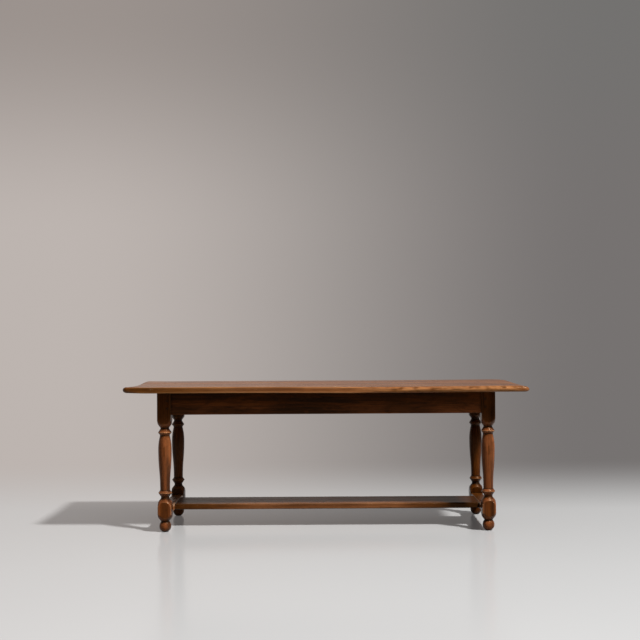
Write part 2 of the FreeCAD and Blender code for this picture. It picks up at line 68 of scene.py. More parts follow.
# How much of a span the finer places at each of its ends may take
END_ROOM_SHARE = 0.4
# Noise: how far apart the places of two seeds lie, and how its finer layers follow each other
SEED_SHIFT = Vector((17.3, 5.7, 11.1))
LAYER_FALL = 1
LAYER_GAP = 2
# Bends, per metre, at which an edge starts to be rubbed and is rubbed bare
WEAR_BENDS = (45, 260)
# Bends, per metre, at which grime starts to gather in a hollow and fills it, and its reach from a joint
GRIME_BENDS = (20, 140)
GRIME_REACH = 9 * MILLIMETRE
SPREAD_ROUNDS = 2
# The axes along and across the grain of a piece
GRAIN_AXES = {"X": (0, 1, 2), "Y": (1, 2, 0), "Z": (2, 0, 1)}


def spread(low, high, step, near, far):
    """Places from low to high about a step apart, with finer ones at set distances from the two ends."""
    room = END_ROOM_SHARE * (high - low)
    near = near[near < room]
    far = far[far < room]
    inner_low = low + near[-1]
    inner_high = high - far[-1]
    count = max(1, round((inner_high - inner_low) / step))
    middle = np.linspace(inner_low, inner_high, count + 1)
    return np.concatenate([low + near[:-1], middle, (high - far[:-1])[::-1]])


def lattice(*lines):
    """The points and faces of a closed box whose sides are divided at the given lines along X, Y and Z."""
    counts = [len(places) for places in lines]
    index = np.indices(counts)
    last = np.array(counts).reshape(3, 1, 1, 1) - 1
    shell = ((index == 0) | (index == last)).any(axis=0)
    number = np.full(counts, -1)
    number[shell] = np.arange(shell.sum())
    points = np.stack([places[index[axis][shell]] for axis, places in enumerate(lines)], axis=1)
    faces = []
    for axis in range(3):
        for end in (0, -1):
            side = np.take(number, end, axis=axis)
            ring = [side[:-1, :-1], side[1:, :-1], side[1:, 1:], side[:-1, 1:]]
            if (end == 0) != (axis == 1):
                ring.reverse()
            faces.append(np.stack([corner.ravel() for corner in ring], axis=1))
    return points, np.concatenate(faces).tolist()


def ripple(points, size, seed, octaves=2):
    """Smooth noise, about -1 to 1, at each point; size is the length of a ripple along each axis."""
    shift = SEED_SHIFT * seed
    places = points / np.asarray(size)
    found = [noise.fractal(Vector(place) + shift, LAYER_FALL, LAYER_GAP, octaves) for place in places]
    return np.array(found)


def ease(value, low, high):
    """A smooth rise from 0 at low to 1 at high."""
    share = np.clip((value - low) / (high - low), 0, 1)
    return share * share * (3 - 2 * share)


def vertex_array(mesh, values, field):
    """A three-number field of the mesh's vertices or vertex normals, one row each."""
    out = np.empty(len(mesh.vertices) * 3, np.float32)
    values.foreach_get(field, out)
    return out.reshape(-1, 3).astype(float)


def bends(mesh):
    """How strongly the surface bends outward and inward at each vertex, per metre, spread a little."""
    places = vertex_array(mesh, mesh.vertices, "co")
    normals = vertex_array(mesh, mesh.vertex_normals, "vector")
    ends = np.empty(len(mesh.edges) * 2, np.int32)
    mesh.edges.foreach_get("vertices", ends)
    first, second = ends.reshape(-1, 2).T
    count = np.bincount(ends, minlength=len(places))
    step = places[second] - places[first]
    bend = ((normals[second] - normals[first]) * step).sum(1) / (step * step).sum(1)
    found = []
    for sign in (1, -1):
        value = np.zeros(len(places))
        np.maximum.at(value, first, sign * bend)
        np.maximum.at(value, second, sign * bend)
        for _ in range(SPREAD_ROUNDS):
            near = np.bincount(first, value[second], len(places))
            near = near + np.bincount(second, value[first], len(places))
            value = (value + near / count) / 2
        found.append(value)
    return found


trees = {
    name: BVHTree.FromPolygons(
        [vertex.co for vertex in node.data.vertices], [face.vertices for face in node.data.polygons]
    )
    for name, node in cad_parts.items()
}


def closeness(node, places):
    """1 where a point touches another node, falling to 0 at the reach of the grime in a joint."""
    low = Vector(places.min(axis=0))
    high = Vector(places.max(axis=0))
    reach = Vector((GRIME_REACH,) * 3)
    near = np.zeros(len(places))
    for other, tree in trees.items():
        other_low, other_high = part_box(other)
        if other == node or "tongue" in other:
            continue
        start = np.maximum(low, other_low - reach)
        stop = np.minimum(high, other_high + reach)
        if (start > stop).any():
            continue
        inside = np.flatnonzero(((places >= start) & (places <= stop)).all(axis=1))
        for index in inside:
            hit = tree.find_nearest(Vector(places[index]), GRIME_REACH)
            if hit[0] is not None:
                near[index] = max(near[index], 1 - hit[3] / GRIME_REACH)
    return near


def keep(mesh, name, kind, values):
    """Stores values on the mesh's vertices for its material."""
    attribute = mesh.attributes.new(name, kind, "POINT")
    field = "vector" if kind == "FLOAT_VECTOR" else "value"
    attribute.data.foreach_set(field, np.asarray(values, np.float32).ravel())


def piece(node, points, faces, along, heart, tint, material, roughen, rub_and_highlight=0):
    """A piece that stands for a node, with its grain round a heart that lies off its middle."""
    mesh = bpy.data.meshes.new(f"worn_{node}")
    mesh.from_pydata(points.tolist(), [], faces)
    points = roughen(points, vertex_array(mesh, mesh.vertex_normals, "vector"))
    mesh.vertices.foreach_set("co", points.astype(np.float32).ravel())
    mesh.shade_smooth()
    mesh.update()
    middle = (points.min(axis=0) + points.max(axis=0)) / 2
    local = (points - middle)[:, GRAIN_AXES[along]]
    # Each piece lies elsewhere along the grain, so that no two look alike
    place_along = len(bpy.data.meshes)
    outward, inward = bends(mesh)
    keep(mesh, "grain", "FLOAT_VECTOR", local + np.array([place_along, *heart]))
    keep(mesh, "wear_and_highlight", "FLOAT", np.maximum(ease(outward, *WEAR_BENDS), rub_and_highlight))
    keep(mesh, "grime", "FLOAT", np.maximum(closeness(node, points) ** 2, ease(inward, *GRIME_BENDS)))
    keep(mesh, "tint", "FLOAT", np.full(len(points), tint))
    item = bpy.data.objects.new(f"worn_{node}", mesh)
    bpy.context.scene.collection.objects.link(item)
    mesh.materials.append(material)
    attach(item, "root")
    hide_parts(node)
    return item


# Finishes

WAX_TINT = (1.0, 0.72, 0.46, 1)
SOOT_COLOUR = (0.008, 0.005, 0.003, 1)
SHADE_SATURATION_SHARE = 0.12
# Waves per metre of each layer of the wood, along its grain and across it
DRIFT_WAVES = (1.1, 6, 6)
STREAK_WAVES = (0.9, 26, 26)
FIBRE_WAVES = (5, 230, 230)
PORE_WAVES = (40, 1100, 1100)
CLOUD_WAVES = (2.6, 9, 9)
FLECK_WAVES = (24, 110, 110)
STAIN_WAVES = (12, 34, 34)
DENT_WAVES = (30, 42, 42)
# Noise levels at which a layer starts to show and shows in full
STREAK_LEVELS = (0.34, 0.66)
FIBRE_LEVELS = (0.62, 0.36)
PORE_LEVELS = (0.56, 0.7)
CLOUD_LEVELS = (0.45, 0.72)
FLECK_LEVELS = (0.63, 0.72)
STAIN_LEVELS = (0.54, 0.72)
PATCH_LEVELS = (0.5, 0.8)
# How much each layer changes the colour
CLOUD_SHARE = 0.65
STAIN_SHARE = 0.55
EARLY_SHARE = 0.3
FIBRE_SHARE = 0.45
FLECK_SHARE = 0.16
PORE_SHARE = 0.6
SOOT_SHARE = 0.9
# How much the fibres add to the patches of the wear
PATCH_FIBRE_SHARE = 0.4
# The least of a layer that is left where another one fades it
LATE_PORE_SHARE = 0.3
PATCH_LEAST_SHARE = 0.45
SOOT_LEAST_SHARE = 0.5
# Growth rings: their width, the part of each that is early wood, and how far they stray
RING_WIDTH = 4 * MILLIMETRE
EARLY_RING_SHARE = 0.5
GRAIN_DRIFT = 50 * MILLIMETRE
NOISE_MIDDLE = (0.5, 0.5, 0.5)
# Roughness that grime adds and rubbing takes away, and the relief of the layers as shares of the grain's
GRIME_ROUGHNESS = 0.25
RUB_POLISH = 0.1
GRAIN_DEPTH = 0.5 * MILLIMETRE
FIBRE_RELIEF_SHARE = 0.5
PORE_RELIEF_SHARE = 0.6
EARLY_RELIEF_SHARE = 0.25
DENT_RELIEF_SHARE = 1.5
# Peg ends
PEG_GLOSS = 0.1
PEG_MOTTLE_WAVES = (260, 260, 260)
PEG_CHECK_WAVES = (900, 500, 700)
PEG_MOTTLE_LEVELS = (0.35, 0.65)
PEG_CHECK_LEVELS = (0.55, 0.68)
PEG_ROUGH_LEVELS = (0.3, 0.7)
PEG_ROUGHNESS = (0.45, 0.7)
PEG_DEPTH = 0.3 * MILLIMETRE


class Finish:
    """A material made by short calls; each gives the socket that carries its result."""

    def __init__(self, tree):
        self.nodes = tree.nodes
        self.links = tree.links
        self.nodes.clear()

    def node(self, kind, **settings):
        made = self.nodes.new(kind)
        for name, value in settings.items():
            setattr(made, name, value)
        return made

    def feed(self, socket, value):
        if isinstance(value, bpy.types.NodeSocket):
            self.links.new(value, socket)
        else:
            socket.default_value = value

    def attribute(self, name, output="Fac"):
        return self.node("ShaderNodeAttribute", attribute_name=name).outputs[output]

    def math(self, operation, *values):
        made = self.node("ShaderNodeMath", operation=operation)
        for socket, value in zip(made.inputs, values):
            self.feed(socket, value)
        return made.outputs[0]

    def vector(self, operation, *values, output="Vector"):
        made = self.node("ShaderNodeVectorMath", operation=operation)
        for socket, value in zip(made.inputs, values):
            self.feed(socket, value)
        return made.outputs[output]

    def noise(self, place, per_metre, detail=2, roughness=0.5, output="Fac"):
        made = self.node("ShaderNodeTexNoise")
        self.feed(made.inputs["Vector"], self.vector("MULTIPLY", place, per_metre))
        made.inputs["Scale"].default_value = 1
        made.inputs["Detail"].default_value = detail
        made.inputs["Roughness"].default_value = roughness
        return made.outputs[output]

    def rise(self, value, low, high, to_low=0.0, to_high=1.0):
        made = self.node("ShaderNodeMapRange", interpolation_type="SMOOTHSTEP")
        for socket, given in zip(made.inputs, (value, low, high, to_low, to_high)):
            self.feed(socket, given)
        return made.outputs[0]

    def at_least(self, mask, share):
        return self.math("MULTIPLY_ADD", mask, 1 - share, share)

    def mix(self, share, first, second):
        made = self.node("ShaderNodeMix", data_type="RGBA")
        self.feed(made.inputs["Factor"], share)
        self.feed(made.inputs[6], first)
        self.feed(made.inputs[7], second)
        return made.outputs[2]

    def tone(self, colour, mask, share, other):
        return self.mix(self.math("MULTIPLY", mask, share), colour, other)

    def blend(self, share, first, second):
        made = self.node("ShaderNodeMixShader")
        self.feed(made.inputs[0], share)
        self.feed(made.inputs[1], first.outputs[0])
        self.feed(made.inputs[2], second.outputs[0])
        return made

    def bump(self, height, depth):
        made = self.node("ShaderNodeBump")
        made.inputs["Strength"].default_value = 1
        made.inputs["Distance"].default_value = depth
        self.feed(made.inputs["Height"], height)
        return made.outputs[0]

    def show(self, shader, kind="ShaderNodeOutputMaterial"):
        self.feed(self.node(kind).inputs[0], shader.outputs[0])


def new_material(name):
    """An empty material and its finish."""
    material = bpy.data.materials.new(name)
    material.use_nodes = True
    return material, Finish(material.node_tree)


def oak(name, body, pale, dark, worn, wear_share, gloss, rough):
    """Old waxed oak. Rings run round the heart of the grain; fibres, pores and flecks run along it."""
    material, finish = new_material(name)
    grain = finish.attribute("grain", "Vector")
    wear_and_highlight = finish.attribute("wear_and_highlight")
    grime = finish.attribute("grime")
    tint = finish.attribute("tint")

    drift = finish.noise(grain, DRIFT_WAVES, detail=3, output="Color")
    drift = finish.vector("SUBTRACT", drift, NOISE_MIDDLE)
    drift = finish.vector("MULTIPLY", drift, (0, GRAIN_DRIFT, GRAIN_DRIFT))
    bent = finish.vector("ADD", grain, drift)
    across = finish.vector("LENGTH", finish.vector("MULTIPLY", bent, (0, 1, 1)), output="Value")
    phase = finish.math("FRACT", finish.math("DIVIDE", across, RING_WIDTH))
    early = finish.math("SUBTRACT", 1, finish.rise(phase, 0, EARLY_RING_SHARE))
    streak = finish.noise(bent, STREAK_WAVES, detail=4, roughness=0.62)
    fibre = finish.noise(bent, FIBRE_WAVES, detail=3, roughness=0.6)
    pore = finish.rise(finish.noise(bent, PORE_WAVES, detail=1), *PORE_LEVELS)
    pore = finish.math("MULTIPLY", pore, finish.at_least(early, LATE_PORE_SHARE))
    cloud = finish.noise(grain, CLOUD_WAVES, detail=4, roughness=0.6)
    fleck = finish.rise(finish.noise(bent, FLECK_WAVES, detail=1), *FLECK_LEVELS)
    stain = finish.rise(finish.noise(grain, STAIN_WAVES, detail=3, roughness=0.6), *STAIN_LEVELS)
    dent = finish.noise(grain, DENT_WAVES, detail=3)

    colour = finish.mix(finish.rise(streak, *STREAK_LEVELS), dark, body)
    colour = finish.tone(colour, finish.rise(cloud, *CLOUD_LEVELS), CLOUD_SHARE, pale)
    colour = finish.tone(colour, stain, STAIN_SHARE, dark)
    colour = finish.tone(colour, early, EARLY_SHARE, dark)
    colour = finish.tone(colour, finish.rise(fibre, *FIBRE_LEVELS), FIBRE_SHARE, dark)
    colour = finish.tone(colour, fleck, FLECK_SHARE, pale)
    colour = finish.tone(colour, pore, PORE_SHARE, dark)
    patchy = finish.rise(finish.math("MULTIPLY_ADD", fibre, PATCH_FIBRE_SHARE, cloud), *PATCH_LEVELS)
    # The rubbed mask also carries the painted highlight on the left stretcher's upper arrises
    rubbed_and_highlight = finish.math("MULTIPLY", wear_and_highlight, finish.at_least(patchy, PATCH_LEAST_SHARE))
    colour = finish.tone(colour, rubbed_and_highlight, wear_share, worn)
    soot = finish.math("MULTIPLY", grime, finish.at_least(cloud, SOOT_LEAST_SHARE))
    colour = finish.tone(colour, soot, SOOT_SHARE, SOOT_COLOUR)
    # The tone kept on the vertices, painted shade included, darkens the colour and deepens its saturation
    toned = finish.node("ShaderNodeHueSaturation")
    finish.feed(toned.inputs["Value"], tint)
    finish.feed(toned.inputs["Saturation"], finish.rise(tint, 0, 1, 1 + SHADE_SATURATION_SHARE, 1))
    finish.feed(toned.inputs["Color"], colour)

    roughness = finish.rise(streak, *STREAK_LEVELS, *rough)
    roughness = finish.math("MULTIPLY_ADD", grime, GRIME_ROUGHNESS, roughness)
    roughness = finish.math("MULTIPLY_ADD", rubbed_and_highlight, -RUB_POLISH, roughness)
    height = finish.math("MULTIPLY", fibre, FIBRE_RELIEF_SHARE)
    height = finish.math("MULTIPLY_ADD", pore, -PORE_RELIEF_SHARE, height)
    height = finish.math("MULTIPLY_ADD", early, -EARLY_RELIEF_SHARE, height)
    height = finish.math("MULTIPLY_ADD", dent, DENT_RELIEF_SHARE, height)
    shader = finish.node("ShaderNodeBsdfPrincipled")
    finish.feed(shader.inputs["Base Color"], toned.outputs[0])
    finish.feed(shader.inputs["Roughness"], roughness)
    shader.inputs["Specular IOR Level"].default_value = gloss
    shader.inputs["Specular Tint"].default_value = WAX_TINT
    finish.feed(shader.inputs["Normal"], finish.bump(height, GRAIN_DEPTH))
    finish.show(shader)
    return material


def end_grain(name, body, dark):
    """The dark end of a peg, with fine checks."""
    material, finish = new_material(name)
    place = finish.node("ShaderNodeTexCoord").outputs["Object"]
    mottle = finish.noise(place, PEG_MOTTLE_WAVES, detail=3)
    check = finish.rise(finish.noise(place, PEG_CHECK_WAVES, detail=2), *PEG_CHECK_LEVELS)
    colour = finish.mix(finish.rise(mottle, *PEG_MOTTLE_LEVELS), dark, body)
    colour = finish.mix(check, colour, dark)
    shader = finish.node("ShaderNodeBsdfPrincipled")
    finish.feed(shader.inputs["Base Color"], colour)
    finish.feed(shader.inputs["Roughness"], finish.rise(mottle, *PEG_ROUGH_LEVELS, *PEG_ROUGHNESS))
    shader.inputs["Specular IOR Level"].default_value = PEG_GLOSS
    shader.inputs["Specular Tint"].default_value = WAX_TINT
    finish.feed(shader.inputs["Normal"], finish.bump(finish.math("SUBTRACT", mottle, check), PEG_DEPTH))
    finish.show(shader)
    return material


top_oak = oak(
    "top_oak",
    body=(0.35, 0.124, 0.036, 1),
    pale=(0.46, 0.19, 0.066, 1),
    dark=(0.13, 0.043, 0.014, 1),
    worn=(0.62, 0.275, 0.105, 1),
    wear_share=0.7,
    gloss=0.25,
    rough=(0.17, 0.32),
)
leg_oak = oak(
    "leg_oak",
    body=(0.29, 0.085, 0.025, 1),
    pale=(0.42, 0.138, 0.043, 1),
    dark=(0.06, 0.021, 0.009, 1),
    worn=(0.42, 0.19, 0.085, 1),
    wear_share=0.75,
    gloss=0.14,
    rough=(0.14, 0.34),
)
apron_oak = oak(
    "apron_oak",
    body=(0.18, 0.054, 0.016, 1),
    pale=(0.38, 0.11, 0.03, 1),
    dark=(0.028, 0.011, 0.005, 1),
    worn=(0.24, 0.085, 0.032, 1),
    wear_share=0.5,
    gloss=0.12,
    rough=(0.5, 0.68),
)
stretcher_oak = oak(
    "stretcher_oak",
    body=(0.31, 0.105, 0.031, 1),
    pale=(0.44, 0.165, 0.06, 1),
    dark=(0.12, 0.042, 0.014, 1),
    worn=(0.45, 0.26, 0.14, 1),
    wear_share=0.3,
    gloss=0.2,
    rough=(0.25, 0.4),
)
peg_oak = end_grain("peg_oak", body=(0.08, 0.027, 0.01, 1), dark=(0.025, 0.011, 0.006, 1))
top_peg_oak = end_grain("top_peg_oak", body=(0.05, 0.02, 0.009, 1), dark=(0.012, 0.007, 0.005, 1))


# Grain of the pieces

# How far the heart of each piece's grain lies off its middle, across the grain, and how light the piece is;
# the rear legs and the right stretcher are darker by painted shade
GRAIN = (
    ("front_board", (0.02, 0.11), 1.0),
    ("front_inner_board", (-0.05, -0.09), 0.92),
    ("rear_inner_board", (0.07, 0.08), 1.05),
    ("rear_board", (-0.03, 0.12), 0.96),
    ("front_left_leg", (0.04, 0.05), 1.05),
    ("front_right_leg", (-0.05, 0.04), 1.0),
    ("rear_left_leg", (0.05, -0.05), 0.62),
    ("rear_right_leg", (-0.04, -0.06), 0.37),
    ("front_apron", (0.09, 0.03), 1.0),
    ("rear_apron", (-0.08, 0.04), 0.95),
    ("left_apron", (0.07, 0.05), 0.95),
    ("right_apron", (0.06, -0.05), 1.0),
    ("left_bearer", (0.05, 0.05), 1.0),
    ("right_bearer", (0.06, 0.04), 0.9),
    ("left_stretcher", (0.05, 0.06), 0.9),
    ("right_stretcher", (0.06, -0.05), 0.35),
    ("centre_stretcher", (0.03, 0.1), 1.0),
    ("front_tongue", (0.04, 0.03), 0.9),
    ("middle_tongue", (0.04, 0.03), 0.9),
    ("rear_tongue", (0.04, 0.03), 0.9),
)
# Seeds of the noise that dents the pieces, in the same order
FIRST_SEED = 1
SEED_STEP = 3
Look = namedtuple("Look", "heart tint seed")
looks = {
    node: Look(heart, tint, FIRST_SEED + SEED_STEP * index) for index, (node, heart, tint) in enumerate(GRAIN)
}


# Boards of the top

# Rounded edges, with the places of their lines as shares of their runs, and the edge that is left squarer
NOSING = 14 * MILLIMETRE
NOSING_RUN = 13 * MILLIMETRE
NOSING_SHARES = np.array([0, 0.03, 0.1, 0.2, 0.34, 0.5, 0.71, 1, 1.4])
END_RUN = 20 * MILLIMETRE
CORNER = 24 * MILLIMETRE
JOINT_EASE = 0.8 * MILLIMETRE
JOINT_SHARES = np.array([0, 0.3, 0.7, 1, 2.5, 6])
SQUARE_SHARE = 0.75
SQUARE_RUN = 96 * MILLIMETRE
BOARD_STEP = (10 * MILLIMETRE, 7 * MILLIMETRE)
EDGE_LINES = 4
TOUCH = 1 * MILLIMETRE
# Ends worn thin: over what run, and by how much at the corners and in the middle of the width
END_FALL_RUN = 85 * MILLIMETRE
LEFT_CORNER_FALL = 1.5 * MILLIMETRE
LEFT_END_FALL = 13 * MILLIMETRE
RIGHT_CORNER_FALL = 7 * MILLIMETRE
RIGHT_END_FALL = 9.5 * MILLIMETRE
# How the top has moved, and where along it
END_LIFT = 4 * MILLIMETRE
EDGE_DROOP = 2 * MILLIMETRE
DROOP_MIDDLE = 0.3
DROOP_HALF = 0.75
DROOP_POWER = 1.5
FRONT_CURL = 3.5 * MILLIMETRE
CURL_SPAN = (-0.6, 0.5)
# The battered part of the front edge, which ends short of the tip
BATTERED_SPAN = (0.05, 0.4)
TIP_RUN = (35 * MILLIMETRE, 85 * MILLIMETRE)
NOTCH_SIZE = (0.032, 0.02, 0.014)
NOTCH_LEVELS = (-0.75, 0.15)
GOUGE_DEPTH = 1.4 * MILLIMETRE
GOUGE_SIZE = (0.035, 0.03, 0.012)
GOUGE_LEVELS = (-0.1, 0.6)
# Dents of all the edges, and the uneven upper face
EDGE_FADE = 1.5
EDGE_LUMP = 0.4 * MILLIMETRE
EDGE_LUMP_SIZE = (0.09, 0.05, 0.05)
KNOCK_DEPTH = 1 * MILLIMETRE
KNOCK_SIZE = (0.03, 0.02, 0.02)
KNOCK_LEVELS = (0.2, 0.8)
SWAY_DEPTH = 0.4 * MILLIMETRE
SWAY_SIZE = (0.55, 0.11, 1)
UNDERSIDE_NORMAL = -0.5
# Darker wood of the left edges, and painted shade on the lower part of the battered edge, broken by patches
EDGE_SHADE_SHARE = 0.55
EDGE_SHADE_SPAN = (-1.0, -0.1)
UNDER_SHADE_SHARE = 0.4

left_overhang_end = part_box("front_left_leg")[0].x
apron_faces = (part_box("front_apron")[0].y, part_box("rear_apron")[1].y)


def fall(share, depth):
    """How far a rounded edge lies below its face, at a share of its run from the outline."""
    inside = 1 - np.clip(share, 0, 1)
    return depth * (1 - np.sqrt(1 - inside * inside))


def warp(x, y):
    """How far the top has moved: its left end lifts, its long edges droop, its front curls up at left."""
    lift = np.clip((left_overhang_end - x) / (left_overhang_end - cad_low.x), 0, 1) ** 2
    along = np.cos(np.clip((x - DROOP_MIDDLE) / DROOP_HALF, -1, 1) * math.pi / 2) ** 2
    outside = np.maximum(apron_faces[0] - y, y - apron_faces[1])
    reach = np.clip(outside / (apron_faces[0] - cad_low.y), 0, 1) ** DROOP_POWER
    curl = (1 - ease(x, *CURL_SPAN)) * (y < 0)
    return END_LIFT * lift + (FRONT_CURL * curl - EDGE_DROOP * along) * reach


def end_wear(x, y):
    """How much thinner the top is worn toward its ends, from the corners to the middle of its width."""
    near = np.clip(1 - np.minimum(x - cad_low.x, cad_high.x - x) / END_FALL_RUN, 0, 1) ** 2
    middle = np.cos(np.clip(y / cad_high.y, -1, 1) * math.pi / 2) ** 2
    corner = np.where(x < 0, LEFT_CORNER_FALL, RIGHT_CORNER_FALL)
    inner = np.where(x < 0, LEFT_END_FALL, RIGHT_END_FALL)
    return near * (corner + (inner - corner) * middle)


def round_corners(low, high, free, x, y, square):
    """Rounds the free corners of a board. Gives the new x and y of its points, how far each lies in from
    the outline, as a share of the rounded edge's run, and how far from a joint."""
    rim = np.minimum(x - low[0], high[0] - x) / END_RUN
    joint = np.full(len(x), np.inf)
    for side, edge in ((-1, low[1]), (1, high[1])):
        to_edge = side * (edge - y)
        if not free[side]:
            joint = np.minimum(joint, to_edge)
            continue
        rim = np.minimum(rim, to_edge / (NOSING_RUN * (1 - square)))
        for end, tip in ((-1, low[0]), (1, high[0])):
            end_part = 1 - end * (tip - x) / CORNER
            edge_part = 1 - to_edge / CORNER
            corner = (end_part > 0) & (edge_part > 0)
            across = end_part * np.sqrt(np.clip(1 - edge_part * edge_part / 2, 0, 1))
            down = edge_part * np.sqrt(np.clip(1 - end_part * end_part / 2, 0, 1))
            reach = np.hypot(across, down)
            turn = (across / np.where(corner, reach, 1)) ** 2
            run = turn * END_RUN + (1 - turn) * NOSING_RUN
            x = np.where(corner, tip - end * CORNER * (1 - across), x)
            y = np.where(corner, edge - side * CORNER * (1 - down), y)
            rim = np.where(corner, CORNER * (1 - reach) / run, rim)
    return x, y, rim, joint


def top_board(node):
    """A board of the top, nosed at its ends and at an edge that lies on the outline of the top."""
    look = looks[node]
    low, high = (np.array(corner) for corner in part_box(node))
    free = {-1: low[1] < cad_low.y + TOUCH, 1: high[1] > cad_high.y - TOUCH}
    end_lines = NOSING_SHARES * END_RUN
    side_lines = {}
    for side in free:
        side_lines[side] = NOSING_SHARES * NOSING_RUN if free[side] else JOINT_SHARES * JOINT_EASE
    xs = spread(low[0], high[0], BOARD_STEP[0], end_lines, end_lines)
    ys = spread(low[1], high[1], BOARD_STEP[1], side_lines[-1], side_lines[1])
    points, faces = lattice(xs, ys, np.linspace(0, 1, EDGE_LINES))
    x, y, share = points.T.copy()
    from_end = np.minimum(x - low[0], high[0] - x)
    battered = ease(x, *BATTERED_SPAN) * ease(from_end, *TIP_RUN) * free[-1]
    square = SQUARE_SHARE * (1 - battered) * ease(from_end, CORNER, SQUARE_RUN)
    x, y, rim, joint = round_corners(low, high, free, x, y, square)
    full = high[2] - low[2]
    thickness = full - end_wear(x, y)
    nosing = fall(rim, NOSING * (1 - square) * thickness / full)
    drop = np.maximum(nosing, fall(joint / JOINT_EASE, JOINT_EASE))
    z = low[2] + drop + share * (thickness - 2 * drop)
    points = np.stack([x, y, z], axis=1)
    edge = np.exp(-EDGE_FADE * rim)
    patch = ease(ripple(points, NOTCH_SIZE, look.seed + 4), *NOTCH_LEVELS)
    shade = look.tint * (1 - EDGE_SHADE_SHARE * edge * (1 - ease(x, *EDGE_SHADE_SPAN)))
    # Painted shade on the lower part of the battered edge, lighter in the patches
    shade = shade * (1 - UNDER_SHADE_SHARE * edge * battered * (1 - share * patch))
    rub_and_highlight = edge * battered * patch

    def roughen(places, normals):
        lump = ripple(places, EDGE_LUMP_SIZE, look.seed, octaves=3)
        knock = ease(ripple(places, KNOCK_SIZE, look.seed + 1), *KNOCK_LEVELS)
        sway = ripple(places * (1, 1, 0), SWAY_SIZE, look.seed + 2) - 1
        gouge = ease(ripple(places, GOUGE_SIZE, look.seed + 3), *GOUGE_LEVELS)
        depth = EDGE_LUMP * (1 + lump) + KNOCK_DEPTH * knock + GOUGE_DEPTH * battered * gouge
        upper = normals[:, 2] > UNDERSIDE_NORMAL
        places = places - normals * (edge * depth)[:, None]
        places[:, 2] += SWAY_DEPTH * sway * upper + warp(places[:, 0], places[:, 1])
        return places

    return piece(node, points, faces, "X", look.heart, shade, top_oak, roughen, rub_and_highlight)


# Rails

APRON_ARRIS = 2 * MILLIMETRE
BEARER_ARRIS = 1.5 * MILLIMETRE
STRETCHER_ARRIS = 7 * MILLIMETRE
CENTRE_ARRIS = 6 * MILLIMETRE
ARRIS_SHARES = np.array([0, 0.25, 0.6, 1, 1.6, 3])
ARRIS_CHANGE_SHARE = 0.35
ARRIS_CHANGE_SIZE = (0.2, 0.2, 0.2)
RAIL_STEP = (12 * MILLIMETRE, 7 * MILLIMETRE)
RAIL_LUMP = 0.3 * MILLIMETRE
RAIL_LUMP_SIZE = (0.12, 0.12, 0.12)
# Painted shade toward the head of the aprons, under the top, and toward both ends of the centre stretcher:
# there it stands for the shadow at the right end, and for dark reflections and darker wood at the left end
APRON_SHADE_SHARE = 0.6
CENTRE_END_SHARES = (0.68, 0.78)
END_SHADE_SPAN = (0.04, 0.6)
# Wear of the upper arrises of the left stretcher, with a painted highlight, against 1 for other bare edges
LEFT_ARRIS_WEAR_AND_HIGHLIGHT = 2.5


def rail(node, along, ends, arris, material, slot, upper_share=0, end_shares=(0, 0), rub_and_highlight=0):
    """A straight piece with worn arrises. Its upper part and its ends are darker by shares of painted shade,
    its upper arrises rubbed, with a painted highlight. Between set ends it runs on by its arris,
    as its tenons do."""
    look = looks[node]
    low, high = (np.array(corner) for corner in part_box(node))
    axis = "XYZ".index(along)
    if ends is not None:
        low[axis] = ends[0] - arris
        high[axis] = ends[1] + arris
    arris_lines = ARRIS_SHARES * arris
    steps = [RAIL_STEP[0] if side == axis else RAIL_STEP[1] for side in range(3)]
    lines = [spread(low[side], high[side], steps[side], arris_lines, arris_lines) for side in range(3)]
    points, faces = lattice(*lines)
    change = ARRIS_CHANGE_SHARE * ripple(points, ARRIS_CHANGE_SIZE, look.seed)
    radius = arris * (1 + change)[:, None]
    inner = np.clip(points, low + radius, high - radius)
    out = points - inner
    points = inner + radius * out / np.linalg.norm(out, axis=1, keepdims=True)
    shade = look.tint * (1 - upper_share * ease(points[:, 2], low[2], high[2]))
    for share, place in zip(end_shares, (low[axis], high[axis])):
        shade = shade * (1 - share * (1 - ease(np.abs(points[:, axis] - place), *END_SHADE_SPAN)))
    upper_arris = (out[:, 2] > 0) & (out[:, 1 - axis] != 0)

    def roughen(places, normals):
        lump = ripple(places, RAIL_LUMP_SIZE, look.seed + 1)
        return places - normals * (RAIL_LUMP * (1 + lump))[:, None]

    return piece(node, points, faces, along, look.heart, shade, material, roughen, rub_and_highlight * upper_arris)


# Legs

# Rings: the most they lie apart, how many of the node's vertices at one height mark a change of the turning,
# and the least gap between two marks
RING_STEP = 2.4 * MILLIMETRE
RING_VERTICES = 24
RING_GAP = 0.4 * MILLIMETRE
RING_DIGITS = 5
RAY_MARGIN = 0.1 * MILLIMETRE
# Where the points of a ring lie on half a side of a square block
SIDE_SHARES = (0, 0.17, 0.34, 0.51, 0.67, 0.8, 0.88, 0.92, 0.96, 1)
# Dents, which leave the sole of the foot flat
LEG_LUMP = 0.35 * MILLIMETRE
LEG_LUMP_SIZE = (0.03, 0.03, 0.09)
SOLE = 4 * MILLIMETRE
# Painted shade under the top, from below the apron's foot upward; darker wood inside the faces of the lower
# blocks, and in hollows
UPPER_SHADE_SHARE = 0.66
UPPER_SHADE_BELOW = 84 * MILLIMETRE
UPPER_SHADE_ABOVE = 6 * MILLIMETRE
BLOCK_SHADE_SHARE = 0.45
BLOCK_FACE_DEPTH = 1 * MILLIMETRE
BLOCK_ARRIS_SHARES = (0.5, 0.9)
HOLLOW_SHADE_SHARE = 0.5
HOLLOW_REACH = 30 * MILLIMETRE
HOLLOW_DEPTH = 6 * MILLIMETRE

apron_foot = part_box("front_apron")[0].z


